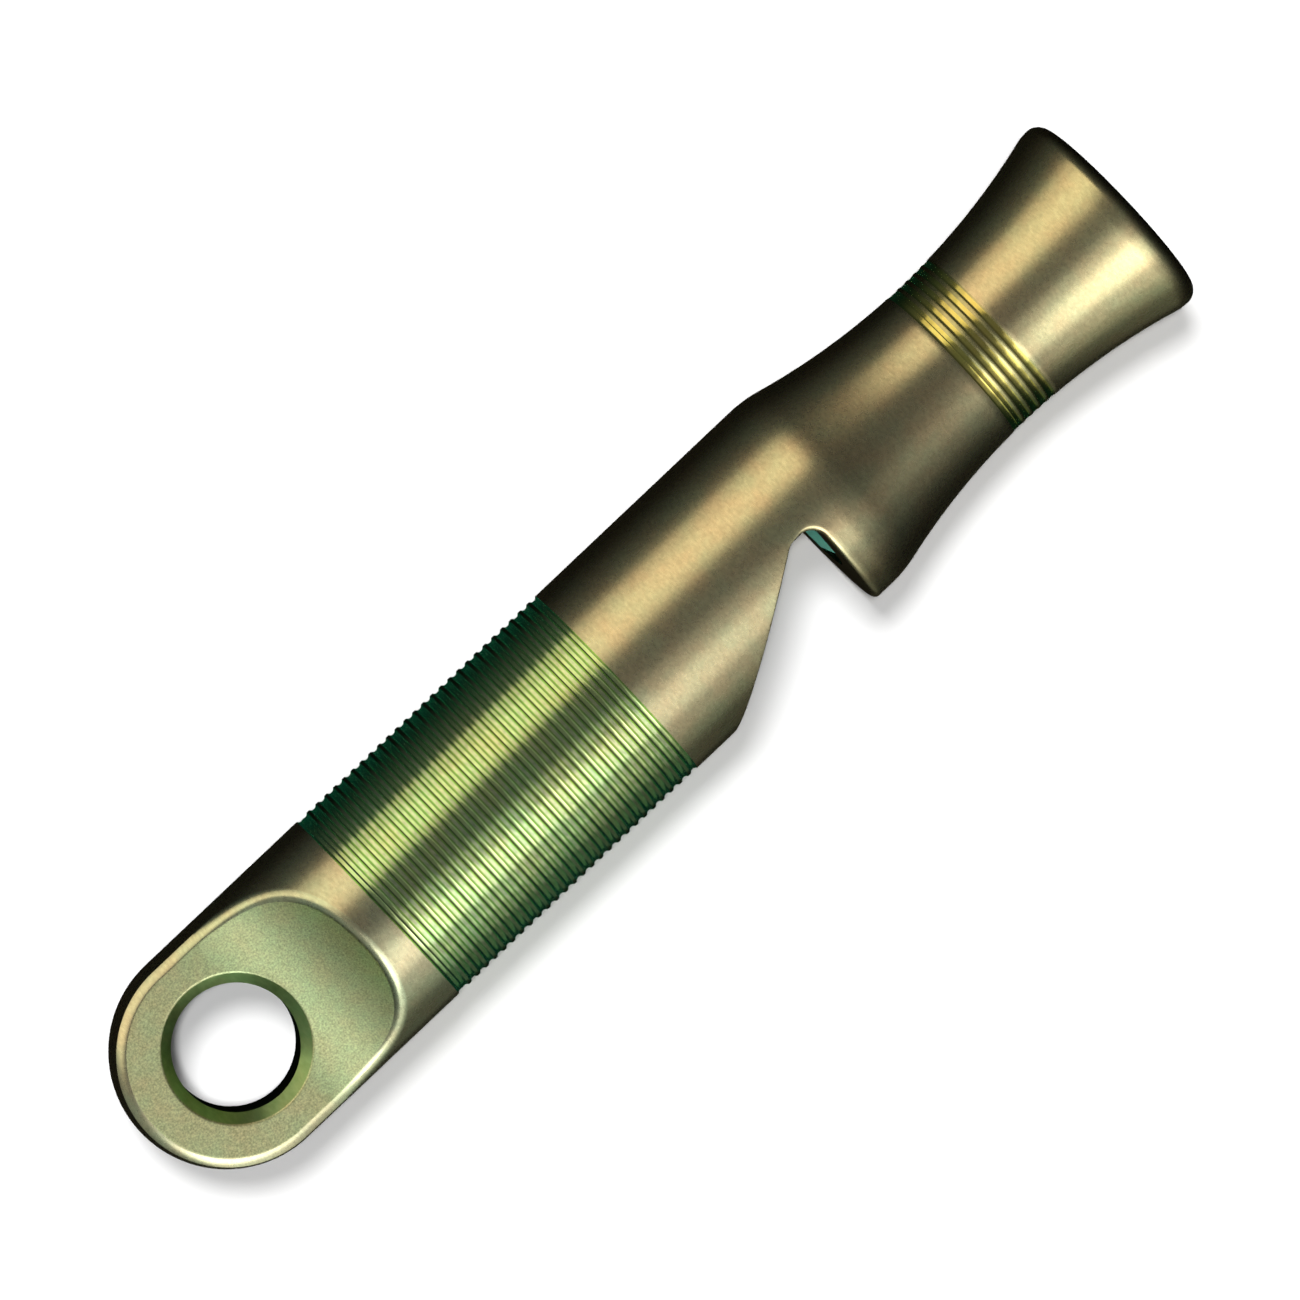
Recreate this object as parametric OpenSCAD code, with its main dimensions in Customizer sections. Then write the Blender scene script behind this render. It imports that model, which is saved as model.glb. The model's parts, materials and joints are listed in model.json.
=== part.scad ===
// Pealess tube whistle turned from titanium bar: a lanyard tail, a grooved barrel with a side
// window, a flared mouthpiece, and the plug whose flat forms the windway.
// The origin is the centre of the lanyard hole on the whistle's axis. +X runs to the mouth,
// +Z runs along the lanyard hole, and the window opens towards -Y.

/* [Barrel] */
// Diameter of the bar that the whistle is turned from
bar_d = 10; // [9.4:0.1:12]
// Bore that holds the air column and the windway plug
bore_d = 6; // [5:0.1:6.2]
// Smooth stretch between the grip and the window's ramp
smooth_l = 2.1; // [0.5:0.1:6]
// Radius that rounds the shoulder into the neck
shoulder_r = 6.2; // [3:0.1:9]

/* [Lanyard tail] */
// Diameter of the lanyard hole
hole_d = 5.5; // [4:0.1:6]
// Distance from the hole's centre to the tip of the tail
hole_to_tip = 5.4; // [5:0.1:8]
// Thickness of the tab between its flats
tab_t = 3.3; // [2.4:0.1:4.4]
// Depth of the countersink on each side of the hole
countersink = 0.5; // [0.2:0.05:0.7]
// Length of the flats past the hole's centre
flat_past_hole = 1.55; // [0:0.05:3]
// Radius of the scoops that lead from the flats out to the bar
scoop_r = 6; // [5:0.1:7.5]
// Length of the spigot that closes the air column
tail_spigot_l = 4; // [2:0.1:8]

/* [Grip grooves] */
// Distance from the hole's centre to the first groove
hole_to_grip = 8.4; // [8.3:0.1:14]
// Length of the grooved grip
grip_l = 13.9; // [11:0.1:20]
// Regular grooves in the grip, after the lead-in groove
grip_groove_n = 27; // [8:1:27]
// Width of one groove
groove_w = 0.36; // [0.26:0.01:0.4]
// Depth of one groove of the grip
groove_depth = 0.1; // [0.05:0.01:0.16]
// Step from the lead-in groove to the first regular one
lead_in = 0.22; // [0.1:0.01:0.24]

/* [Window] */
// Length of the window along the bar's surface
window_l = 8.3; // [6:0.1:12]
// Length of the window's root, between the ramp and the wall
root_l = 1.3; // [1.2:0.1:2]
// Height of the window's root over the axis
root_h = 0.15; // [0:0.05:1]
// Radius of the window's inner corners
window_corner_r = 0.75; // [0.2:0.05:0.8]
// Height of the windway between the plug's flat and the bore
windway_h = 0.85; // [0.5:0.05:1.2]

/* [Mouthpiece] */
// Diameter of the neck at its waist
waist_d = 7.78; // [7.7:0.02:9]
// Distance from the window's wall to the waist
wall_to_waist = 9.9; // [9.5:0.1:14]
// Distance from the waist to the crease before the lip
waist_to_crease = 8.15; // [7:0.05:12]
// Length of the straight land between the crease and the rounded lip
lip_land_l = 0.3; // [0.1:0.05:0.8]
// Radius of the rounded lip
lip_r = 0.65; // [0.3:0.05:1]
// Chamfer where the bore meets the mouth
mouth_chamfer = 0.4; // [0.1:0.05:0.6]
// Distance from the rim's face to the plug
plug_recess = 0.5; // [0:0.05:2]
// Regular grooves in the neck, after the lead-in groove
neck_groove_n = 5; // [3:1:5]
// Depth of one groove of the neck
neck_groove_depth = 0.03; // [0.02:0.01:0.1]
// Length of the neck's grooved band
neck_band_l = 2.4; // [2.3:0.1:4]
// Part of that band on the barrel's side of the waist
band_before_waist = 0.75; // [0.3:0.05:1.5]
// Length of the register that centres the mouthpiece in the barrel
register_l = 1.6; // [0.8:0.1:3]
// Wall of that register
register_wall = 0.4; // [0.3:0.01:0.45]

/* [Fits] */
// Radial clearance of the spigot, the register and the plug
fit_gap = 0.02; // [0.01:0.01:0.04]

/* [Hidden] */
round_facets = 96;
curve_steps = 20;
lip_steps = 6;
// Places across a groove, which has round walls and a narrow floor, as shares of its width
groove_shares = [0, 0.1, 0.22, 0.38, 0.62, 0.78, 0.9, 1];
groove_wall_share = 0.38;
// How far a cutter runs past the surface that it cuts
overrun = 1;
bronze = [0.52, 0.48, 0.35];
green = [0.27, 0.42, 0.27];
teal = [0.25, 0.5, 0.42];

bar_r = bar_d / 2;
bore_r = bore_d / 2;
hole_r = hole_d / 2;
tab_h = tab_t / 2;
// The rim is turned from the same bar as the barrel
rim_d = bar_d;
rim_r = rim_d / 2;
waist_r = waist_d / 2;

// Places along the axis
ball_x = bar_r - hole_to_tip;
grip_x = hole_to_grip;
tail_seam_x = grip_x + (groove_w + lead_in) / 2;
ramp_x = grip_x + grip_l + smooth_l;
wall_x = ramp_x + window_l;
waist_x = wall_x + wall_to_waist;
crease_x = waist_x + waist_to_crease;
lip_x = crease_x + lip_land_l;
rim_x = lip_x + lip_r;
neck_band_x = waist_x - band_before_waist;
neck_seam_x = neck_band_x + (groove_w + lead_in) / 2;
register_x = neck_seam_x - register_l;
register_r = bore_r + register_wall;

// The neck is one circular arc through the waist and the crease
flare_rise = rim_r - waist_r;
neck_arc_r = (pow(waist_to_crease, 2) + pow(flare_rise, 2)) / (2 * flare_rise);
neck_arc_y = waist_r + neck_arc_r;

// The shoulder's arc touches the bar at shoulder_x and the neck's arc at neck_x
shoulder_y = bar_r - shoulder_r;
centres_gap = shoulder_r + neck_arc_r;
shoulder_run = sqrt(pow(centres_gap, 2) - pow(neck_arc_y - shoulder_y, 2));
shoulder_x = waist_x - shoulder_run;
neck_x = shoulder_x + shoulder_run * shoulder_r / centres_gap;

function on_arc(x, centre_x, r) = sqrt(pow(r, 2) - pow(x - centre_x, 2));

// Radius of the bar, shoulder and neck before they are grooved
function smooth_r(x) =
    x < shoulder_x ? bar_r :
    x < neck_x ? shoulder_y + on_arc(x, shoulder_x, shoulder_r) :
    neck_arc_y - on_arc(x, waist_x, neck_arc_r);

// Points [radius, x] over a stretch of the smooth outline
function smooth_points(from_x, to_x) = [
    for (i = [0 : curve_steps])
        let (x = from_x + (to_x - from_x) * i / curve_steps)
        [smooth_r(x), x]
];

// Depth at a place across a groove
function groove_cut(share, depth) =
    depth * sin(90 * min(1, min(share, 1 - share) / groove_wall_share));

function shares_between(from_share, to_share) = concat(
    [from_share],
    [for (share = groove_shares) if (share > from_share && share < to_share) share],
    [to_share]
);

// Points [radius, x] over one groove, or over the part of it between two shares of its width
function groove_points(centre_x, depth, from_share = 0, to_share = 1) = [
    for (share = shares_between(from_share, to_share))
        let (x = centre_x + (share - 1 / 2) * groove_w)
        [smooth_r(x) - groove_cut(share, depth), x]
];

// The lead-in groove and the first regular one overlap, and a seam lies where they meet
seam_share = (groove_w + lead_in) / (2 * groove_w);

function groove_x(band_x, band_l, n, k) =
    band_x + groove_w / 2 + lead_in + k * (band_l - groove_w - lead_in) / (n - 1);

// The grooves of a band past its seam
function band_points(band_x, band_l, n, depth) = [
    for (k = [0 : n - 1])
        let (from_share = k == 0 ? 1 - seam_share : 0)
        each groove_points(groove_x(band_x, band_l, n, k), depth, from_share, 1)
];

// The half of a band's lead-in groove that lies before the seam
function lead_in_points(band_x, depth) =
    groove_points(band_x + groove_w / 2, depth, 0, seam_share);

// Turns an outline of [radius, x] points about the whistle's axis
module turned(points) {
    rotate([0, 90, 0])
        rotate_extrude($fn = round_facets)
            polygon(points);
}

// Half of the ball end, as [radius, x] points from the tip to the full bar
ball_points = [
    for (i = [0 : curve_steps])
        let (a = 90 * i / curve_steps)
        [bar_r * sin(a), ball_x - bar_r * cos(a)]
];

module tail_blank() {
    spigot_r = bore_r - fit_gap;
    spigot_x = tail_seam_x + tail_spigot_l;
    turned(concat(
        ball_points,
        lead_in_points(grip_x, groove_depth),
        [[spigot_r, tail_seam_x], [spigot_r, spigot_x], [0, spigot_x]]
    ));
}

// Cuts one flat and the scoop that follows it, above the tab
module flat_cutter() {
    reach = bar_r + overrun;
    rotate([90, 0, 0])
        linear_extrude(height = 2 * reach, center = true) {
            translate([-hole_to_tip - overrun, tab_h])
                square([hole_to_tip + overrun + flat_past_hole, reach]);
            translate([flat_past_hole, tab_h + scoop_r])
                circle(r = scoop_r, $fn = round_facets);
        }
}

// Countersink on the upper side of the tab, with the tool's shank above it
module countersink_cutter() {
    wide_r = hole_r + countersink;
    translate([0, 0, tab_h - countersink])
        cylinder(r1 = hole_r, r2 = wide_r, h = countersink, $fn = round_facets);
    translate([0, 0, tab_h])
        cylinder(r = wide_r, h = bar_r, $fn = round_facets);
}

module lanyard_tail() {
    color(bronze)
        difference() {
            tail_blank();
            for (side = [0, 1])
                mirror([0, 0, side]) {
                    flat_cutter();
                    countersink_cutter();
                }
            cylinder(r = hole_r, h = bar_d, center = true, $fn = round_facets);
        }
}

module barrel_blank() {
    turned(concat(
        band_points(grip_x, grip_l, grip_groove_n, groove_depth),
        smooth_points(shoulder_x, neck_x),
        smooth_points(neck_x, neck_band_x),
        lead_in_points(neck_band_x, neck_groove_depth),
        [
            [register_r, neck_seam_x],
            [register_r, register_x],
            [bore_r, register_x],
            [bore_r, tail_seam_x]
        ]
    ));
}

// The window's outline from the side: a ramp, a root with round corners and an upright wall
module window_outline() {
    ramp_run = window_l - root_l;
    ramp_rise = bar_r - root_h;
    ramp_angle = atan2(ramp_rise, ramp_run);
    tangent_l = window_corner_r * tan(ramp_angle / 2);
    root_x = ramp_x + ramp_run;
    corner_y = -root_h - window_corner_r;
    out_y = -bar_r - overrun;
    polygon([
        [root_x - tangent_l * cos(ramp_angle), -root_h - tangent_l * sin(ramp_angle)],
        [ramp_x - overrun * ramp_run / ramp_rise, out_y],
        [wall_x, out_y],
        [wall_x, corner_y],
        [wall_x - window_corner_r, -root_h],
        [root_x + tangent_l, -root_h]
    ]);
    for (x = [root_x + tangent_l, wall_x - window_corner_r])
        translate([x, corner_y])
            circle(r = window_corner_r, $fn = round_facets);
}

module barrel() {
    color(green)
        difference() {
            barrel_blank();
            linear_extrude(height = bar_d + 2 * overrun, center = true)
                window_outline();
        }
}

// Quarter round from the land to the rim's face
lip_points = [
    for (i = [0 : lip_steps])
        let (a = 90 * i / lip_steps)
        [rim_r - lip_r + lip_r * cos(a), lip_x + lip_r * sin(a)]
];

module mouthpiece() {
    register_outer_r = register_r - fit_gap;
    color(bronze)
        turned(concat(
            band_points(neck_band_x, neck_band_l, neck_groove_n, neck_groove_depth),
            smooth_points(neck_band_x + neck_band_l, crease_x),
            lip_points,
            [
                [bore_r + mouth_chamfer, rim_x],
                [bore_r, rim_x - mouth_chamfer],
                [bore_r, register_x],
                [register_outer_r, register_x],
                [register_outer_r, neck_seam_x]
            ]
        ));
}

module windway_plug() {
    plug_r = bore_r - fit_gap;
    flat_y = -(bore_r - windway_h);
    plug_l = rim_x - plug_recess - wall_x;
    color(teal)
        translate([wall_x, 0, 0])
            rotate([0, 90, 0])
                linear_extrude(height = plug_l)
                    intersection() {
                        circle(r = plug_r, $fn = round_facets);
                        translate([-bore_r, flat_y])
                            square([bore_d, bore_r - flat_y]);
                    }
}

lanyard_tail();
barrel();
mouthpiece();
windway_plug();
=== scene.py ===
"""Looks of the titanium whistle: refined meshes, finishes, floor, lights and camera."""

import json
import math

import bmesh
import bpy
import numpy as np
from mathutils import Matrix, Vector


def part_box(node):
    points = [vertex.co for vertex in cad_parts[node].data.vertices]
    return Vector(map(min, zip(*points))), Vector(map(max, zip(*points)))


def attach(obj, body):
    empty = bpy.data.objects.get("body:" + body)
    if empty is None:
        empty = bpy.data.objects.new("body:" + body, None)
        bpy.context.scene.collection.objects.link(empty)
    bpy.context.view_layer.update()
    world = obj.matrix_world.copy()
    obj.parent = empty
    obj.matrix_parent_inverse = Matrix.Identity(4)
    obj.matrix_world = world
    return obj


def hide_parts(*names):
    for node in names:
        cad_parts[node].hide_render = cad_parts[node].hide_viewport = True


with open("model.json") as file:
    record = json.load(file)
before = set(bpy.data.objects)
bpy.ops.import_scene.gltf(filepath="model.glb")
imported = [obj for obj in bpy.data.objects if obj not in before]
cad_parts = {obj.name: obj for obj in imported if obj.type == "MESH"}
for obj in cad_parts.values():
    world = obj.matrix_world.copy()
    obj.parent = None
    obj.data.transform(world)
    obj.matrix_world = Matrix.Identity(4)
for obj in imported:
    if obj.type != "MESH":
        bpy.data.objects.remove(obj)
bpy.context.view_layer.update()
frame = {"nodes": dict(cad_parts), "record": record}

MM = 0.001


def low(node):
    """Lowest corner of a CAD node, in millimetres."""
    return np.round(np.array(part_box(node)[0]) / MM, 3)


def high(node):
    """Highest corner of a CAD node, in millimetres."""
    return np.round(np.array(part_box(node)[1]) / MM, 3)


def mount(name):
    """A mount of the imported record."""
    return next(m for m in frame["record"]["mounts"] if m["name"] == name)


def add_object(name, data):
    """Adds an object with that mesh, light or camera to the scene."""
    added = bpy.data.objects.new(name, data)
    bpy.context.scene.collection.objects.link(added)
    return added


# Sizes read from the frame, in millimetres
bar_r = high("barrel")[2]
tip_x = low("lanyard_tail")[0]
spigot_x = high("lanyard_tail")[0]
tail_seam_x = low("barrel")[0]
neck_seam_x = high("barrel")[0]
register_x = low("mouthpiece")[0]
wall_x = low("windway_plug")[0]
rim_x = high("mouthpiece")[0]
hole_r = mount("lanyard_hole")["dims"]["r_mm"]
tab_h = mount("tab_face_upper")["pos_m"][2] / MM

# Sizes of the construction that the frame doesn't name, in millimetres, and one angle
bore_r = 3.0
fit_gap = 0.02
countersink = 0.5
cone_slope = math.radians(45)
flat_past_hole = 1.55
scoop_r = 6.0
groove_w = 0.36
groove_depth = 0.1
lead_in = 0.22
grip_l = 13.9
grip_groove_n = 27
window_l = 8.3
root_l = 1.3
root_h = 0.15
window_corner_r = 0.75
waist_r = 3.89
wall_to_waist = 9.9
waist_to_crease = 8.15
shoulder_r = 6.2
lip_land_l = 0.3
lip_r = 0.65
mouth_chamfer = 0.4
neck_band_l = 2.4
neck_groove_depth = 0.03
neck_groove_n = 5
register_wall = 0.4

# Wear of the edges: radii, the flat band on the tab, and the length that the flare ends early
tab_edge_r = 0.3
tab_band_inset = 0.12
tab_band_flat_share = 0.6
tab_band_fade_l = 2.4
scoop_edge_r = 0.55
hole_edge_r = 0.16
ramp_edge_r = 0.06
wall_edge_r = 0.26
flare_wear = 0.12

# The seams lie in the middle of each band's first groove, which a lead-in widens
seam_offset = (groove_w + lead_in) / 2
seam_share = seam_offset / groove_w
grip_x = tail_seam_x - seam_offset
neck_band_x = neck_seam_x - seam_offset

# Other places along the axis, and the radii of the spigot, the socket and the register in it
ball_x = tip_x + bar_r
ramp_x = wall_x - window_l
waist_x = wall_x + wall_to_waist
crease_x = waist_x + waist_to_crease
lip_x = crease_x + lip_land_l
spigot_r = bore_r - fit_gap
socket_r = bore_r + register_wall
register_r = socket_r - fit_gap

# The neck's arc runs through the waist and the crease, and the shoulder's arc is tangent to it
flare_rise = bar_r - waist_r
neck_arc_r = (waist_to_crease**2 + flare_rise**2) / (2 * flare_rise)
neck_arc_y = waist_r + neck_arc_r
shoulder_y = bar_r - shoulder_r
centres_gap = shoulder_r + neck_arc_r
shoulder_run = math.sqrt(centres_gap**2 - (neck_arc_y - shoulder_y) ** 2)
shoulder_x = waist_x - shoulder_run
neck_x = shoulder_x + shoulder_run * shoulder_r / centres_gap

# Fineness of the meshes: columns round half a turn, and steps along each stretch
half_columns = 70
fillet_steps = 8
ball_steps = 60
straight_steps = 10
scoop_steps = 80
flat_steps = 20
collar_steps = 5
ramp_out_steps = 36
ramp_in_steps = 24
root_corner_steps = 10
wall_corner_steps = 16
wall_in_steps = 16
wall_out_steps = 28
window_face_steps = 10
tube_steps = 6
before_shoulder_steps = 4
shoulder_steps = 14
neck_steps = 24
bore_steps = 11
flare_steps = 40
lip_steps = 16

# Angles of the columns round the axis
half_turn = [math.radians(a) for a in np.linspace(-90, 90, half_columns + 1)]
quarter_turn = [math.radians(a) for a in np.linspace(0, 90, half_columns // 2 + 1)]

# Shares of a groove's width: its stations, one wall, and the part of a neck groove that is bright
groove_shares = (0, 0.05, 0.1, 0.16, 0.22, 0.3, 0.38, 0.5, 0.62, 0.7, 0.78, 0.84, 0.9, 0.95, 1)
groove_wall_share = 0.38
neck_bright_share = 0.78

# Material slots of the turned pieces, by their place in the mesh's list
SATIN = 0
GRIP_GROOVE = 1
GRIP_LAND = 2
NECK_GROOVE = 3
FLAT = 4
CONE = 5
CUT = 6
BORE = 7
NECK_LAND = 8
TAB_EDGE = 9


def smooth_radius(x):
    """Radius of the bar, the shoulder and the neck before they are grooved."""
    if x < shoulder_x:
        return bar_r
    if x < neck_x:
        return shoulder_y + math.sqrt(shoulder_r**2 - (x - shoulder_x) ** 2)
    return neck_arc_y - math.sqrt(neck_arc_r**2 - (x - waist_x) ** 2)


def groove_cut(share, depth):
    """Depth at a share of a groove's width: round walls and a narrow floor."""
    wall_share = min(1, min(share, 1 - share) / groove_wall_share)
    return depth * math.sin(math.pi / 2 * wall_share)


def groove_rows(centre_x, depth, start_share, end_share=1.0):
    """Stations (x, radius) across the part of a groove between two shares of its width."""
    inner_shares = [share for share in groove_shares if start_share < share < end_share]
    rows = []
    for share in [start_share, *inner_shares, end_share]:
        x = centre_x + (share - 0.5) * groove_w
        rows.append((x, smooth_radius(x) - groove_cut(share, depth)))
    return rows


def groove_centres(band_x, band_l, count):
    """Centres of a band's regular grooves."""
    first = band_x + groove_w / 2 + lead_in
    pitch = (band_l - groove_w - lead_in) / (count - 1)
    return [first + k * pitch for k in range(count)]


def smooth_rows(from_x, to_x, steps):
    """Stations (x, radius) over a smooth stretch."""
    return [(x, smooth_radius(x)) for x in np.linspace(from_x, to_x, steps + 1)]


class Shell:
    """Grid patches of points in millimetres, mirrored and welded into one closed mesh."""

    def __init__(self, mirrors):
        self.mirrors = [np.array(m, float) for m in mirrors]
        self.points = []
        self.quads = []
        self.slots = []
        self.count = 0

    def patch(self, rows, slot):
        """Adds a grid of points, given as rows of equal length, in each mirrored copy."""
        grid = np.array(rows, float)
        height, width = grid.shape[:2]
        index = np.arange(height * width).reshape(height, width)
        corners = (index[:-1, :-1], index[1:, :-1], index[1:, 1:], index[:-1, 1:])
        quads = np.stack([c.ravel() for c in corners], axis=1)
        for mirror in self.mirrors:
            self.points.append(grid.reshape(-1, 3) * mirror)
            self.quads.append(quads + self.count)
            self.slots.append(np.full(len(quads), slot))
            self.count += height * width

    def build(self, name, materials):
        """Welds the patches and returns the object, with smooth shading and sharp edges."""
        weld_step = 1e-4
        sharp_angle = math.radians(32)
        points = np.concatenate(self.points)
        keys = np.round(points / weld_step).astype(np.int64)
        _, first, place = np.unique(keys, axis=0, return_index=True, return_inverse=True)
        quads = place.reshape(-1)[np.concatenate(self.quads)]
        faces = []
        slots = []
        for quad, slot in zip(quads.tolist(), np.concatenate(self.slots).tolist()):
            corners = list(dict.fromkeys(quad))
            if len(corners) > 2:
                faces.append(corners)
                slots.append(slot)
        mesh = bpy.data.meshes.new(name)
        mesh.from_pydata((points[first] * MM).tolist(), [], faces)
        mesh.polygons.foreach_set("material_index", slots)
        for material in materials:
            mesh.materials.append(material)
        shape = bmesh.new()
        shape.from_mesh(mesh)
        bmesh.ops.recalc_face_normals(shape, faces=shape.faces)
        shape.to_mesh(mesh)
        shape.free()
        mesh.polygons.foreach_set("use_smooth", [True] * len(mesh.polygons))
        mesh.set_sharp_from_angle(angle=sharp_angle)
        return add_object(name, mesh)


def ring(x, radius, angles):
    """Points round the axis at one station: an angle is 0 at +Z and a right angle at +Y."""
    return [(x, radius * math.sin(a), radius * math.cos(a)) for a in angles]


def turned(shell, rows, angles, slot):
    """Adds a turned surface through stations (x, radius)."""
    shell.patch([ring(x, radius, angles) for x, radius in rows], slot)


def rounded_edge(place, normal, radius):
    """Rolls a ball of that radius along the edge between a cut face and the bar.

    place and normal are (x, h) in the cut face's own plane. Returns the ball's centre, its
    contact with the bar and the bar's normal there, as (x, h, w) with w across the cut.
    """
    centre_x = place[0] - radius * normal[0]
    centre_h = place[1] - radius * normal[1]
    past_ball = min(0.0, centre_x - ball_x)
    reach = bar_r - radius
    centre_w = math.sqrt(max(0.0, reach**2 - past_ball**2 - centre_h**2))
    outward = np.array([past_ball, centre_h, centre_w]) / reach
    centre = np.array([centre_x, centre_h, centre_w])
    return centre, centre + radius * outward, outward


def worn_band(arc, inset, flat_share):
    """Flattens a rounded edge into a band that starts further in on the cut face."""
    start = arc[0] + inset
    band = []
    for k, place in enumerate(arc):
        share = k / fillet_steps
        chord = start + (arc[-1] - start) * share
        moved = place + inset * (1 - share)
        band.append(moved + (chord - moved) * flat_share)
    return band


def edge_arc(centre, start_normal, end_normal, radius):
    """Points of the rounded edge, turning from one normal to the other."""
    start = np.array([start_normal[0], start_normal[1], 0.0])
    between = math.acos(max(-1.0, min(1.0, float(start @ end_normal))))
    arc = []
    for k in range(fillet_steps + 1):
        share = k / fillet_steps
        turn = math.sin((1 - share) * between) * start + math.sin(share * between) * end_normal
        arc.append(centre + radius * turn / math.sin(between))
    return arc


def eased(steps):
    """Shares from 0 to 1 that crowd together towards 1."""
    return [math.sin(math.pi / 2 * k / steps) for k in range(steps + 1)]


def face_height(x):
    """Height of the tab's flat, and of the scoop that follows it, over the axis."""
    if x <= flat_past_hole:
        return tab_h
    return tab_h + scoop_r - math.sqrt(scoop_r**2 - (x - flat_past_hole) ** 2)


def smooth_share(value, start, length):
    """Share from 0 to 1 that grows smoothly over a length."""
    share = min(1.0, max(0.0, (value - start) / length))
    return share * share * (3 - 2 * share)


def band_share(x):
    """Share of the tab's band that is there, which fades out as the edge climbs the scoop."""
    return 1 - smooth_share(x, flat_past_hole, tab_band_fade_l)


def tail_edge():
    """Places and normals (x, z) along the tab's edge, from the tip round to the scoop's end."""
    reach = math.sqrt((bar_r - tab_edge_r) ** 2 - (tab_h - tab_edge_r) ** 2)
    up = (0.0, 1.0)
    samples = []
    for k in range(ball_steps):
        turn = math.pi / 2 * k / ball_steps
        samples.append(((ball_x - reach * math.cos(turn), tab_h), up))
    for x in np.linspace(ball_x, flat_past_hole, straight_steps + 1)[:-1]:
        samples.append(((x, tab_h), up))
    lift = tab_h + scoop_r
    last = math.acos((lift - (bar_r - scoop_edge_r)) / (scoop_r + scoop_edge_r))
    for share in eased(scoop_steps):
        turn = last * share
        place = (flat_past_hole + scoop_r * math.sin(turn), lift - scoop_r * math.cos(turn))
        samples.append((place, (-math.sin(turn), math.cos(turn))))
    return samples


def tail_side(contact):
    """A line down the outside of the tab, from the rounded edge to the middle plane."""
    steps = half_columns // 2
    x, z, y = contact
    line = []
    if x < ball_x:
        rise = math.asin(z / bar_r)
        turn = math.atan2(y, ball_x - x)
        for k in range(steps + 1):
            lift = rise * (1 - k / steps)
            level = bar_r * math.cos(lift)
            line.append((ball_x - level * math.cos(turn), level * math.sin(turn),
                         bar_r * math.sin(lift)))
        return line
    rise = math.atan2(z, y)
    for k in range(steps + 1):
        turn = rise * (1 - k / steps)
        line.append((x, bar_r * math.cos(turn), bar_r * math.sin(turn)))
    return line


def hole_mouth(toward, mouth_r, edge_reach, lift):
    """The rounded edge of the hole's mouth in one direction, and the wall under it in the scoop."""
    line = []
    for k in range(fillet_steps + 1):
        turn = cone_slope * k / fillet_steps
        radius = mouth_r + edge_reach - hole_edge_r * math.sin(turn)
        height = tab_h + lift - hole_edge_r * (1 - math.cos(turn))
        line.append((*(toward * radius), height))
    line.append((line[-1][0], line[-1][1], line[-1][2] - lift))
    return line


def make_tail(materials):
    """The lanyard tail: ball end, flats, scoops, countersunk hole and spigot."""
    shell = Shell([(1, 1, 1), (1, -1, 1), (1, 1, -1), (1, -1, -1)])
    sides = []
    edges = []
    faces = []
    mouths = []
    cones = []
    walls = []
    mouth_r = hole_r + countersink
    edge_reach = hole_edge_r * math.tan(cone_slope / 2)
    for place, normal in tail_edge():
        worn_share = band_share(place[0])
        edge_r = scoop_edge_r + (tab_edge_r - scoop_edge_r) * worn_share
        centre, contact, outward = rounded_edge(place, normal, edge_r)
        sides.append(tail_side(contact))
        bearing = math.atan2(centre[2], place[0])
        toward = np.array([math.cos(bearing), math.sin(bearing)])
        inner_x = place[0] - tab_band_inset * worn_share * toward[0]
        inner_w = centre[2] - tab_band_inset * worn_share * toward[1]
        inset = np.array([inner_x - place[0], face_height(inner_x) - place[1],
                          inner_w - centre[2]])
        arc = edge_arc(centre, normal, outward, edge_r)
        band = worn_band(arc, inset, tab_band_flat_share * worn_share)
        edges.append([(x, w, h) for x, h, w in band])
        start = toward * (mouth_r + edge_reach)
        end = np.array([inner_x, inner_w])
        line = []
        for share in np.linspace(0, 1, flat_steps + 1):
            x, y = start + (end - start) * share
            line.append((x, y, face_height(x)))
        faces.append(line)
        lift = face_height(start[0]) - tab_h
        mouth = hole_mouth(toward, mouth_r, edge_reach, lift)
        cone_foot = (*(toward * hole_r), tab_h - countersink)
        mouths.append(mouth)
        cones.append([mouth[-1], cone_foot])
        walls.append([cone_foot, (*(toward * hole_r), 0.0)])
    shell.patch(sides, SATIN)
    shell.patch(edges, TAB_EDGE)
    shell.patch(faces, FLAT)
    shell.patch(mouths, FLAT)
    shell.patch(cones, CONE)
    shell.patch(walls, BORE)
    scoop_end_x = sides[-1][0][0]
    collar = [(x, bar_r) for x in np.linspace(scoop_end_x, grip_x, collar_steps + 1)]
    lead = groove_rows(grip_x + groove_w / 2, groove_depth, 0.0, seam_share)
    spigot = [lead[-1], (tail_seam_x, spigot_r), (spigot_x, spigot_r), (spigot_x, 0.0)]
    turned(shell, collar, quarter_turn, SATIN)
    turned(shell, lead, quarter_turn, GRIP_GROOVE)
    turned(shell, spigot, quarter_turn, BORE)
    return shell.build("tail_finished", materials)


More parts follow.
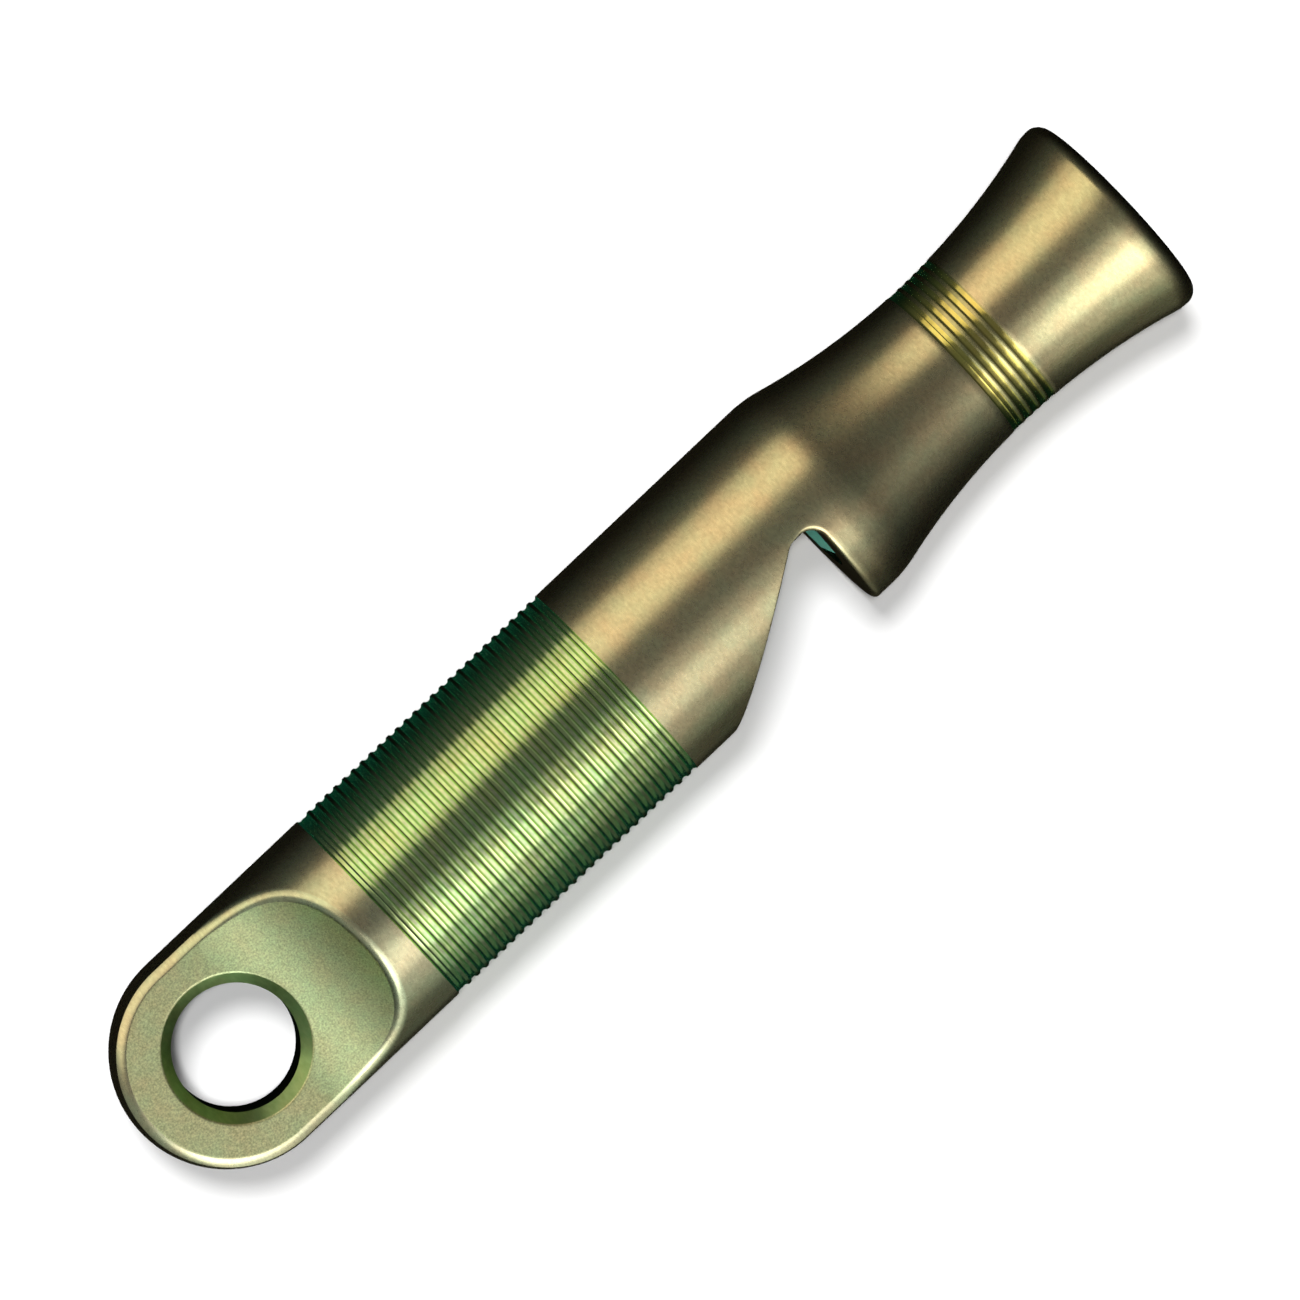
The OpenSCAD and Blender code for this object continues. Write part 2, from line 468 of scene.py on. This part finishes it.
def window_path():
    """Places and normals (x, y) along the window's cut, in stretches from its ramp to its wall."""
    ramp_rise = bar_r - root_h
    ramp_run = window_l - root_l
    slope = math.atan2(ramp_rise, ramp_run)
    root_x = ramp_x + ramp_run
    ramp_normal = (math.sin(slope), -math.cos(slope))
    tangent = window_corner_r * math.tan(slope / 2)
    root_centre = np.array([root_x + tangent, -root_h - window_corner_r])
    wall_centre = np.array([wall_x - window_corner_r, -root_h - window_corner_r])

    def ramp_place(y):
        """The ramp's place at that height."""
        return (root_x + (y + root_h) / math.tan(slope), y)

    def corner(centre, start, end, steps):
        """A rounded inner corner between two angles."""
        stretch = []
        for turn in np.linspace(start, end, steps + 1):
            spoke = np.array([math.cos(turn), math.sin(turn)])
            stretch.append((tuple(centre + window_corner_r * spoke), tuple(-spoke)))
        return stretch

    # The cut starts and ends where the edge's ball touches the bar on its lowest line
    outer_y = -(bar_r - ramp_edge_r) + ramp_edge_r * ramp_normal[1]
    bottom_y = -(bar_r - wall_edge_r)
    ramp_end_y = -root_h - tangent * math.sin(slope)
    ramp_out = [(ramp_place(outer_y + (-bore_r - outer_y) * (1 - share)), ramp_normal)
                for share in reversed(eased(ramp_out_steps))]
    ramp_in = [(ramp_place(y), ramp_normal)
               for y in np.linspace(-bore_r, ramp_end_y, ramp_in_steps + 1)]
    root_corner = corner(root_centre, math.pi / 2 + slope, math.pi / 2, root_corner_steps)
    wall_corner = corner(wall_centre, math.pi / 2, 0, wall_corner_steps)
    wall_normal = (-1.0, 0.0)
    wall_in = [((wall_x, y), wall_normal)
               for y in np.linspace(wall_centre[1], -bore_r, wall_in_steps + 1)]
    wall_out = [((wall_x, -bore_r + (bottom_y + bore_r) * share), wall_normal)
                for share in eased(wall_out_steps)]
    return ramp_out, ramp_in + root_corner[1:] + wall_corner, wall_in, wall_out


def window_edge(x):
    """Radius of the window's edge, which grows over the root from the ramp to the wall."""
    wall_share = smooth_share(x, wall_x - root_l, root_l)
    return ramp_edge_r + (wall_edge_r - ramp_edge_r) * wall_share


def angles_from(start, count):
    """Angles of the columns from one angle up to the barrel's back."""
    return [start + (math.pi / 2 - start) * k / count for k in range(count + 1)]


def column_angle(height, radius):
    """Angle of a point of that height on a turned surface."""
    return math.asin(max(-1.0, min(1.0, height / radius)))


def make_barrel(materials):
    """The barrel: grip, window, shoulder and the first half of the neck, with its bore."""
    shell = Shell([(1, 1, 1), (1, 1, -1)])
    ramp_out, middle, wall_in, wall_out = window_path()
    through = ramp_out + middle[1:]
    path = through + wall_in[1:] + wall_out[1:]

    # The window's rounded edge, and its cut faces from the bore to that edge
    radii = [window_edge(place[0]) for place, normal in path]
    rolled = [rounded_edge(*sample, radius) for sample, radius in zip(path, radii)]
    edges = []
    for (place, normal), (centre, contact, outward), radius in zip(path, rolled, radii):
        edges.append(edge_arc(centre, normal, outward, radius))
    shell.patch(edges, SATIN)
    faces = []
    for (place, normal), (centre, contact, outward) in zip(path, rolled):
        inner = math.sqrt(max(0.0, bore_r**2 - place[1] ** 2))
        faces.append([(*place, inner + (centre[2] - inner) * k / window_face_steps)
                      for k in range(window_face_steps + 1)])
    shell.patch(faces, CUT)

    # The grip, and the tube up to the window
    grip_centres = groove_centres(grip_x, grip_l, grip_groove_n)
    add_grooved(shell, grip_centres, groove_depth, GRIP_GROOVE, GRIP_LAND)
    grip_end_x = grip_centres[-1] + groove_w / 2
    contacts = [contact for centre, contact, outward in rolled]
    turned(shell, smooth_rows(grip_end_x, contacts[0][0], tube_steps), half_turn, SATIN)

    # The tube beside the window, then the shoulder and the neck, whose columns fit the wall's edge
    beside = []
    for contact in contacts[:len(through)]:
        start = column_angle(contact[1], bar_r)
        beside.append(ring(contact[0], bar_r, angles_from(start, half_columns)))
    shell.patch(beside, SATIN)
    wall_contacts = contacts[len(through) - 1:]
    wall_angles = [column_angle(contact[1], bar_r) for contact in wall_contacts]
    right_angles = wall_angles[:0:-1] + angles_from(wall_angles[0], half_columns)
    edge_x = contacts[-1][0]
    right = smooth_rows(edge_x, shoulder_x, before_shoulder_steps)
    right += smooth_rows(shoulder_x, neck_x, shoulder_steps)[1:]
    right += smooth_rows(neck_x, neck_band_x, neck_steps)[1:]
    lead = groove_rows(neck_band_x + groove_w / 2, neck_groove_depth, 0.0, seam_share)
    turned(shell, right, right_angles, SATIN)
    turned(shell, lead, right_angles, NECK_GROOVE)

    add_bore(shell, through, wall_in, len(wall_out) - 1, lead[-1][1], right_angles)
    return shell.build("barrel_finished", materials)


def add_grooved(shell, centres, depth, groove_slot, land_slot, bright_share=1.0):
    """Adds a band's regular grooves and the lands between them, from its seam on.

    The groove's finish ends at bright_share of its width, and the land's starts there.
    """
    for k, centre in enumerate(centres):
        start_share = 1 - seam_share if k == 0 else 0.0
        groove = groove_rows(centre, depth, start_share, bright_share)
        turned(shell, groove, half_turn, groove_slot)
        land = groove_rows(centre, depth, bright_share)
        if k + 1 < len(centres):
            land_end = centres[k + 1] - groove_w / 2
            land.append((land_end, smooth_radius(land_end)))
        turned(shell, land, half_turn, land_slot)


def add_bore(shell, through, wall_in, hidden_columns, groove_floor, right_angles):
    """Adds the barrel's bore round the window, its socket and the faces at its two seams.

    hidden_columns is how many columns of the wall's edge lie below the bore. In the bore they
    all run along its lowest line.
    """
    open_rows = [place for place, normal in through if place[1] >= -bore_r]
    left = [(x, bore_r) for x in np.linspace(tail_seam_x, open_rows[0][0], bore_steps + 1)]
    turned(shell, left, half_turn, BORE)
    rows = []
    for x, y in open_rows:
        rows.append(ring(x, bore_r, angles_from(column_angle(y, bore_r), half_columns)))
    shell.patch(rows, BORE)
    wall_angles = [column_angle(place[1], bore_r) for place, normal in wall_in]
    inner_angles = [-math.pi / 2] * hidden_columns + wall_angles[:0:-1]
    inner_angles += angles_from(wall_angles[0], half_columns)
    socket = [(wall_x, bore_r), (register_x, bore_r), (register_x, socket_r),
              (neck_seam_x, socket_r)]
    turned(shell, socket, inner_angles, BORE)
    shell.patch([ring(neck_seam_x, socket_r, inner_angles),
                 ring(neck_seam_x, groove_floor, right_angles)], BORE)
    grip_floor = (tail_seam_x, bar_r - groove_cut(seam_share, groove_depth))
    turned(shell, [(tail_seam_x, bore_r), grip_floor], half_turn, BORE)


def make_mouthpiece(materials):
    """The mouthpiece: neck grooves, flare, rounded lip, bore and register."""
    shell = Shell([(1, 1, 1), (1, 1, -1)])
    centres = groove_centres(neck_band_x, neck_band_l, neck_groove_n)
    add_grooved(shell, centres, neck_groove_depth, NECK_GROOVE, NECK_LAND, neck_bright_share)
    flare = smooth_rows(centres[-1] + groove_w / 2, crease_x - flare_wear, flare_steps)
    turned(shell, flare, half_turn, SATIN)
    lip = [flare[-1]]
    for k in range(lip_steps + 1):
        turn = math.pi / 2 * k / lip_steps
        lip.append((lip_x + lip_r * math.sin(turn), bar_r - lip_r + lip_r * math.cos(turn)))
    turned(shell, lip, half_turn, SATIN)
    mouth = [lip[-1], (rim_x, bore_r + mouth_chamfer)]
    turned(shell, mouth, half_turn, SATIN)
    first_floor = groove_rows(centres[0], neck_groove_depth, 1 - seam_share)[0]
    inside = [mouth[-1], (rim_x - mouth_chamfer, bore_r), (register_x, bore_r),
              (register_x, register_r), (neck_seam_x, register_r), first_floor]
    turned(shell, inside, half_turn, BORE)
    return shell.build("mouthpiece_finished", materials)


class Nodes:
    """Small helpers for a material's node tree. Positions are in millimetres."""

    def __init__(self, name):
        self.material = bpy.data.materials.new(name)
        self.material.use_nodes = True
        self.tree = self.material.node_tree
        self.shader = self.tree.nodes["Principled BSDF"]
        place = self.tree.nodes.new("ShaderNodeTexCoord")
        scale = self.tree.nodes.new("ShaderNodeVectorMath")
        scale.operation = "SCALE"
        scale.inputs["Scale"].default_value = 1 / MM
        self.tree.links.new(place.outputs["Object"], scale.inputs[0])
        self.place = scale.outputs[0]

    def link(self, source, target):
        """Links a node's output to another's input."""
        self.tree.links.new(source, target)

    def noise(self, size, detail=3.0, stretch=(1, 1, 1)):
        """Noise with features of that size, in millimetres, stretched along the axes."""
        detail_strength = 0.55
        mapping = self.tree.nodes.new("ShaderNodeMapping")
        mapping.inputs["Scale"].default_value = [1 / s for s in stretch]
        node = self.tree.nodes.new("ShaderNodeTexNoise")
        node.inputs["Scale"].default_value = 1 / size
        node.inputs["Detail"].default_value = detail
        node.inputs["Roughness"].default_value = detail_strength
        self.link(self.place, mapping.inputs["Vector"])
        self.link(mapping.outputs["Vector"], node.inputs["Vector"])
        return node.outputs["Fac"]

    def ramp(self, source, stops):
        """Colours along a value, as (position, (r, g, b))."""
        node = self.tree.nodes.new("ShaderNodeValToRGB")
        elements = node.color_ramp.elements
        for position, colour in stops[1:-1]:
            elements.new(position)
        for element, (position, colour) in zip(elements, stops):
            element.position = position
            element.color = (*colour, 1.0)
        self.link(source, node.inputs["Fac"])
        return node.outputs["Color"]

    def span(self, source, low_in, high_in, low_out, high_out):
        """Maps a value from one range to another, clamped."""
        node = self.tree.nodes.new("ShaderNodeMapRange")
        node.inputs["From Min"].default_value = low_in
        node.inputs["From Max"].default_value = high_in
        node.inputs["To Min"].default_value = low_out
        node.inputs["To Max"].default_value = high_out
        self.link(source, node.inputs["Value"])
        return node.outputs["Result"]

    def along_axis(self, stops):
        """Colours along the whistle's axis, as (place in millimetres, (r, g, b))."""
        split = self.tree.nodes.new("ShaderNodeSeparateXYZ")
        self.link(self.place, split.inputs[0])
        first, last = stops[0][0], stops[-1][0]
        share = self.span(split.outputs["X"], first, last, 0.0, 1.0)
        return self.ramp(share, [((x - first) / (last - first), colour) for x, colour in stops])

    def multiply(self, first, second):
        """Multiplies two colours."""
        node = self.tree.nodes.new("ShaderNodeVectorMath")
        node.operation = "MULTIPLY"
        self.link(first, node.inputs[0])
        self.link(second, node.inputs[1])
        return node.outputs[0]

    def bump(self, source, height_mm):
        """Bump from a value, with its height in millimetres."""
        node = self.tree.nodes.new("ShaderNodeBump")
        node.inputs["Strength"].default_value = 1.0
        node.inputs["Distance"].default_value = height_mm * MM
        self.link(source, node.inputs["Height"])
        self.link(node.outputs["Normal"], self.shader.inputs["Normal"])


# The grain: its noise runs from dark to light between two values, and its bump is in millimetres
grain_low = 0.3
grain_high = 0.7
grain_stretch = 2.2
grain_height = 0.0008
grain_bump_detail = 0.5
rough_grain_factor = 1.5

# The patches, which are broad and faint
patch_size = 1.5
patch_low = 0.35
patch_high = 0.65
green_patch = (0.92, 1.0, 0.97)
warm_patch = (1.0, 0.93, 0.89)

# The anodised colour is greener on the tail and warmer on the neck
cast_stops = ((0.0, (1.0, 0.96, 0.98)), (flat_past_hole, (0.96, 1.0, 1.0)),
              (tail_seam_x, (0.97, 1.0, 1.05)), (ramp_x, (1.0, 0.97, 0.96)),
              (waist_x, (1.0, 0.94, 0.90)), (rim_x, (1.0, 0.97, 0.90)))

# The sheen of the grooves and the plug at a low angle
sheen_roughness = 0.6


def turned_titanium(name, dark, light, grain, roughness, edge_tint, stretch=grain_stretch,
                    metallic=1.0, sheen=None):
    """Anodised titanium with a fine even grain and faint warm and green patches.

    dark and light are the grain's two colours, grain is its size in millimetres, roughness
    is its lowest and highest value, and edge_tint colours the reflection at a low angle.
    The grain's strokes run across the axis, stretch times as long as they are wide. metallic
    is 1 for metal, and sheen is the colour of a faint sheen at a low angle.
    """
    nodes = Nodes(name)
    grains = nodes.noise(grain, stretch=(1, stretch, stretch))
    speckle = nodes.ramp(grains, [(grain_low, dark), (grain_high, light)])
    broad = nodes.noise(patch_size)
    patches = nodes.ramp(broad, [(patch_low, green_patch), (patch_high, warm_patch)])
    cast = nodes.multiply(patches, nodes.along_axis(cast_stops))
    nodes.link(nodes.multiply(speckle, cast), nodes.shader.inputs["Base Color"])
    rough_grains = nodes.noise(grain * rough_grain_factor)
    rough = nodes.span(rough_grains, grain_low, grain_high, *roughness)
    nodes.link(rough, nodes.shader.inputs["Roughness"])
    nodes.shader.inputs["Metallic"].default_value = metallic
    nodes.shader.inputs["Specular Tint"].default_value = (*edge_tint, 1.0)
    if sheen:
        nodes.shader.inputs["Sheen Weight"].default_value = 1.0
        nodes.shader.inputs["Sheen Roughness"].default_value = sheen_roughness
        nodes.shader.inputs["Sheen Tint"].default_value = (*sheen, 1.0)
    nodes.bump(nodes.noise(grain, detail=grain_bump_detail), grain_height)
    return nodes.material


def satin_titanium():
    """Bronze satin finish of the turned outside."""
    return turned_titanium("satin_titanium", dark=(0.55, 0.52, 0.33), light=(0.71, 0.67, 0.43),
                           grain=0.12, roughness=(0.26, 0.30), edge_tint=(1.0, 1.0, 0.9))


def grip_groove_titanium():
    """Bright green finish of the grip's grooves."""
    return turned_titanium("grip_groove_titanium", dark=(0.52, 0.69, 0.30),
                           light=(0.64, 0.80, 0.38), grain=0.15, roughness=(0.16, 0.20),
                           edge_tint=(0.35, 0.95, 0.6), sheen=(0.001, 0.045, 0.022))


def grip_land_titanium():
    """Olive finish of the lands between the grip's grooves."""
    return turned_titanium("grip_land_titanium", dark=(0.49, 0.60, 0.35),
                           light=(0.66, 0.77, 0.45), grain=0.13, roughness=(0.18, 0.24),
                           edge_tint=(0.5, 0.95, 0.7))


def neck_groove_titanium():
    """Golden green finish of the neck's shallow grooves."""
    return turned_titanium("neck_groove_titanium", dark=(0.68, 0.64, 0.17),
                           light=(0.78, 0.73, 0.24), grain=0.15, roughness=(0.15, 0.19),
                           edge_tint=(0.4, 0.9, 0.4), sheen=(0.001, 0.02, 0.008))


def neck_land_titanium():
    """Dull olive finish of the lands between the neck's grooves."""
    return turned_titanium("neck_land_titanium", dark=(0.42, 0.43, 0.22),
                           light=(0.56, 0.56, 0.30), grain=0.13, roughness=(0.24, 0.30),
                           edge_tint=(0.6, 0.95, 0.6))


def tab_edge_titanium():
    """Worn bronze finish of the tab's edge, a little greener than the turned outside."""
    return turned_titanium("tab_edge_titanium", dark=(0.55, 0.56, 0.37), light=(0.71, 0.73, 0.48),
                           grain=0.12, roughness=(0.26, 0.30), edge_tint=(1.0, 1.0, 0.9))


def flat_titanium():
    """Sage green blasted finish of the tab's flats."""
    return turned_titanium("flat_titanium", dark=(0.48, 0.55, 0.30), light=(0.90, 0.98, 0.60),
                           grain=0.08, roughness=(0.44, 0.54), edge_tint=(0.9, 1.0, 0.8),
                           stretch=1.0)


def cone_titanium():
    """Green polished finish of the countersinks."""
    return turned_titanium("cone_titanium", dark=(0.42, 0.64, 0.27), light=(0.54, 0.76, 0.35),
                           grain=0.2, roughness=(0.28, 0.34), edge_tint=(0.5, 0.9, 0.6))


# Painted shade: the window's cut faces get a darker copy of the satin bronze
def cut_painted_shade():
    """Painted shade on the window's milled faces: a darker copy of the bronze outside."""
    return turned_titanium("cut_painted_shade", dark=(0.22, 0.20, 0.12), light=(0.32, 0.28, 0.17),
                           grain=0.15, roughness=(0.28, 0.36), edge_tint=(0.8, 0.9, 0.7))


# Painted shade: the hole's wall, the bore, the socket, the spigot and the seam faces get this
# nearly black colour
def bore_painted_shade():
    """Nearly black painted shade inside the hole and the bore, far darker than bare titanium."""
    return turned_titanium("bore_painted_shade", dark=(0.03, 0.04, 0.03), light=(0.05, 0.07, 0.05),
                           grain=0.2, roughness=(0.35, 0.45), edge_tint=(0.4, 0.6, 0.5))


def plug_titanium():
    """Teal finish of the windway plug, soft enough to show its colour at a low angle."""
    return turned_titanium("plug_titanium", dark=(0.28, 0.76, 0.58), light=(0.38, 0.88, 0.70),
                           grain=0.2, roughness=(0.30, 0.40), edge_tint=(0.5, 1.0, 0.8),
                           metallic=0.0, sheen=(0.1, 0.5, 0.4))


# The turned pieces' materials, in the order of the slots' numbers
materials = [satin_titanium(), grip_groove_titanium(), grip_land_titanium(),
             neck_groove_titanium(), flat_titanium(), cone_titanium(), cut_painted_shade(),
             bore_painted_shade(), neck_land_titanium(), tab_edge_titanium()]
for make, node, slot in (
    (make_tail, "lanyard_tail", "bronze_anodised"),
    (make_barrel, "barrel", "green_anodised"),
    (make_mouthpiece, "mouthpiece", "bronze_anodised"),
):
    piece = make(materials)
    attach(piece, "root")
    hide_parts(node)
plug = frame["nodes"]["windway_plug"]
plug.data.materials.clear()
plug.data.materials.append(plug_titanium())

# Camera: its pose is fitted to the photograph, whose frame is 1300 pixels square
photo_px = 1300
px_per_mm = 23.6
focal_px = 11430
sensor_mm = 36
axis_bearing = math.radians(43.44)
axis_tilt = 0.0436
whistle_roll = math.radians(8)
aim_x = 24.28
clip_factor = 10

# In the camera's view: the whistle's axis, the way out of it nearest to the camera, and across both
axis_in_view = Vector((math.cos(axis_tilt) * math.cos(axis_bearing),
                       math.cos(axis_tilt) * math.sin(axis_bearing), -math.sin(axis_tilt)))
nearest = Vector((math.sin(axis_tilt) * math.cos(axis_bearing),
                  math.sin(axis_tilt) * math.sin(axis_bearing), math.cos(axis_tilt)))
across_both = nearest.cross(axis_in_view)

# Rows are the frame's axes in the camera's view, so this turns the camera's axes to the frame's
y_in_view = math.cos(whistle_roll) * across_both + math.sin(whistle_roll) * nearest
z_in_view = math.cos(whistle_roll) * nearest - math.sin(whistle_roll) * across_both
camera_axes = Matrix((axis_in_view, y_in_view, z_in_view))

camera_distance = focal_px / px_per_mm * MM
aim = Vector((aim_x * MM, 0.0, 0.0))
to_camera = camera_axes @ Vector((0.0, 0.0, 1.0))
camera_data = bpy.data.cameras.new("camera")
camera_data.lens = focal_px / photo_px * sensor_mm
camera_data.sensor_width = sensor_mm
camera_data.clip_start = camera_distance / clip_factor
camera_data.clip_end = camera_distance * clip_factor
camera = add_object("camera", camera_data)
camera_place = Matrix.Translation(aim + to_camera * camera_distance)
camera.matrix_world = camera_place @ camera_axes.to_4x4()
bpy.context.scene.camera = camera

# Directions for the lights: along the axis, and round it from the side that faces the camera
toward_mouth = Vector((1.0, 0.0, 0.0))
camera_side = Vector((0.0, to_camera.y, to_camera.z)).normalized()
window_side = toward_mouth.cross(camera_side)


def direction(around, lengthwise):
    """Direction at two angles in degrees: round the axis to the window's side, and to the mouth."""
    turn = math.radians(around)
    lean = math.radians(lengthwise)
    across = camera_side * math.cos(turn) + window_side * math.sin(turn)
    return across * math.cos(lean) + toward_mouth * math.sin(lean)


def width_between(angles):
    """Width of a softbox that lies between two angles in degrees."""
    return 2 * light_distance * math.tan(math.radians((angles[1] - angles[0]) / 2))


def softbox(name, around, lengthwise, radiance, colour):
    """A rectangular light that only the metal reflects.

    around and lengthwise are the two angles in degrees that it lies between, each way. Its
    power is its radiance times pi and its area.
    """
    data = bpy.data.lights.new(name, "AREA")
    data.shape = "RECTANGLE"
    data.size = width_between(around)
    data.size_y = width_between(lengthwise)
    data.energy = radiance * math.pi * data.size * data.size_y
    data.color = colour
    out = direction((around[0] + around[1]) / 2, (lengthwise[0] + lengthwise[1]) / 2)
    up = (toward_mouth - out * out.x).normalized()
    side = up.cross(out)
    turn = Matrix((side, up, out)).transposed()
    light = add_object(name, data)
    light.matrix_world = Matrix.Translation(aim + out * light_distance) @ turn.to_4x4()
    light.visible_diffuse = False
    light.visible_camera = False


def sun(name, strength, width, toward):
    """A distant light from that direction, width degrees wide, that the metal doesn't reflect."""
    data = bpy.data.lights.new(name, "SUN")
    data.energy = strength
    data.angle = math.radians(width)
    light = add_object(name, data)
    light.rotation_mode = "QUATERNION"
    light.rotation_quaternion = toward.to_track_quat("Z", "Y")
    light.visible_glossy = False


# The softboxes' distance in metres, and their colours
light_distance = 0.4
warm_colour = (1.0, 0.83, 0.60)
pale_colour = (1.0, 0.95, 0.88)
spot_colour = (1.0, 0.98, 0.97)
side_colour = (0.95, 1.0, 0.85)
tail_colour = (0.92, 1.0, 0.85)

warm_length = (-48, 18)
softbox("softbox_warm", around=(-70.5, -20), lengthwise=warm_length, radiance=0.82,
        colour=warm_colour)
softbox("softbox_warm_core", around=(-55, -28), lengthwise=warm_length, radiance=0.46,
        colour=warm_colour)

# The pale light fades towards the mouth and the sides, so it is made of boxes end to end, each
# with a narrower one over its middle. A zone is its two angles lengthwise and its radiance.
pale_zones = ((-48, -8, 2.3), (-8, 4, 1.7), (4, 17, 0.2), (17, 26, 0.22), (26, 34, 0.10))
pale_wide_share = 0.3
pale_core_share = 0.7
for start, end, radiance in pale_zones:
    softbox(f"softbox_pale_{end}", around=(18, 88), lengthwise=(start, end),
            radiance=pale_wide_share * radiance, colour=pale_colour)
    softbox(f"softbox_pale_core_{end}", around=(36.5, 65.5), lengthwise=(start, end),
            radiance=pale_core_share * radiance, colour=pale_colour)
softbox("softbox_pale_spot", around=(34, 66), lengthwise=(-44, -18), radiance=1.0,
        colour=spot_colour)

# Dim greenish lights on the window's side and past the tail
side_length = (-50, 3)
softbox("softbox_side", around=(83, 108), lengthwise=side_length, radiance=0.34,
        colour=side_colour)
softbox("softbox_side_low", around=(108, 150), lengthwise=side_length, radiance=0.10,
        colour=side_colour)
softbox("softbox_tail", around=(-45, 45), lengthwise=(-86, -48), radiance=0.14,
        colour=tail_colour)

# Floor: a square in metres, with its edges far outside the view
floor_half = 2.0
floor_z = -bar_r * MM
floor_colour = (0.9, 0.9, 0.9, 1.0)
floor_data = bpy.data.meshes.new("floor")
floor_points = [(floor_half * x, floor_half * y, floor_z)
                for x, y in ((-1, -1), (1, -1), (1, 1), (-1, 1))]
floor_data.from_pydata(floor_points, [], [(0, 1, 2, 3)])
floor_material = bpy.data.materials.new("pale_floor")
floor_material.use_nodes = True
floor_shader = floor_material.node_tree.nodes["Principled BSDF"]
floor_shader.inputs["Base Color"].default_value = floor_colour
floor_shader.inputs["Roughness"].default_value = 1.0
floor_shader.inputs["Specular IOR Level"].default_value = 0.0
floor_data.materials.append(floor_material)
floor = add_object("floor", floor_data)
floor.visible_glossy = False

# One sun casts the shadow, and one beside the camera keeps it pale wherever the camera sees it
sun("shadow_light", strength=2.1, width=11, toward=direction(around=-11.3, lengthwise=2.5))
sun("fill_light", strength=1.5, width=4, toward=to_camera)

# The world around, whose nodes read the direction of each ray
world = bpy.data.worlds.new("studio")
world.use_nodes = True
bpy.context.scene.world = world
tree = world.node_tree
ray_direction = tree.nodes.new("ShaderNodeTexCoord").outputs["Generated"]


def facing(target, dark_at, bright_at, dark, bright):
    """A value for each direction of the world, from dark to bright as it turns to a target."""
    dot = tree.nodes.new("ShaderNodeVectorMath")
    dot.operation = "DOT_PRODUCT"
    dot.inputs[1].default_value = target
    tree.links.new(ray_direction, dot.inputs[0])
    span = tree.nodes.new("ShaderNodeMapRange")
    span.interpolation_type = "SMOOTHSTEP"
    span.inputs["From Min"].default_value = dark_at
    span.inputs["From Max"].default_value = bright_at
    span.inputs["To Min"].default_value = dark
    span.inputs["To Max"].default_value = bright
    tree.links.new(dot.outputs["Value"], span.inputs["Value"])
    return span.outputs["Result"]


# What the metal reflects: a dim room that is darker below the whistle and past its mouth
low_room_colour = (0.84, 1.0, 1.0, 1.0)
high_room_colour = (0.98, 1.0, 0.98, 1.0)
upper_glow = facing(camera_side, dark_at=-0.7, bright_at=0.8, dark=0.003, bright=0.13)
tail_glow = facing(-toward_mouth, dark_at=-1.0, bright_at=-0.1, dark=0.1, bright=1.0)
room = tree.nodes.new("ShaderNodeMath")
room.operation = "MULTIPLY"
tree.links.new(upper_glow, room.inputs[0])
tree.links.new(tail_glow, room.inputs[1])
high_share = facing(camera_side, dark_at=-0.2, bright_at=0.9, dark=0.0, bright=1.0)
room_colour = tree.nodes.new("ShaderNodeMix")
room_colour.data_type = "RGBA"
room_colour.inputs["A"].default_value = low_room_colour
room_colour.inputs["B"].default_value = high_room_colour
tree.links.new(high_share, room_colour.inputs["Factor"])
background = tree.nodes["Background"]
tree.links.new(room_colour.outputs["Result"], background.inputs["Color"])
tree.links.new(room.outputs["Value"], background.inputs["Strength"])

# Glossy rays meet the room, the camera sees open air past the floor, and the rest is a pale sky
sky_colour = (1.0, 1.0, 1.01, 1.0)
sky_strength = 0.15
open_air_colour = (1.0, 1.0, 1.0, 1.0)
sky = tree.nodes.new("ShaderNodeBackground")
sky.inputs["Color"].default_value = sky_colour
sky.inputs["Strength"].default_value = sky_strength
open_air = tree.nodes.new("ShaderNodeBackground")
open_air.inputs["Color"].default_value = open_air_colour
rays = tree.nodes.new("ShaderNodeLightPath")
sky_or_room = tree.nodes.new("ShaderNodeMixShader")
tree.links.new(rays.outputs["Is Glossy Ray"], sky_or_room.inputs["Fac"])
tree.links.new(sky.outputs["Background"], sky_or_room.inputs[1])
tree.links.new(background.outputs["Background"], sky_or_room.inputs[2])
surroundings = tree.nodes.new("ShaderNodeMixShader")
tree.links.new(rays.outputs["Is Camera Ray"], surroundings.inputs["Fac"])
tree.links.new(sky_or_room.outputs["Shader"], surroundings.inputs[1])
tree.links.new(open_air.outputs["Background"], surroundings.inputs[2])
tree.links.new(surroundings.outputs["Shader"], tree.nodes["World Output"].inputs["Surface"])

# Colours are shown as they are, with no film curve
bpy.context.scene.view_settings.view_transform = "Standard"
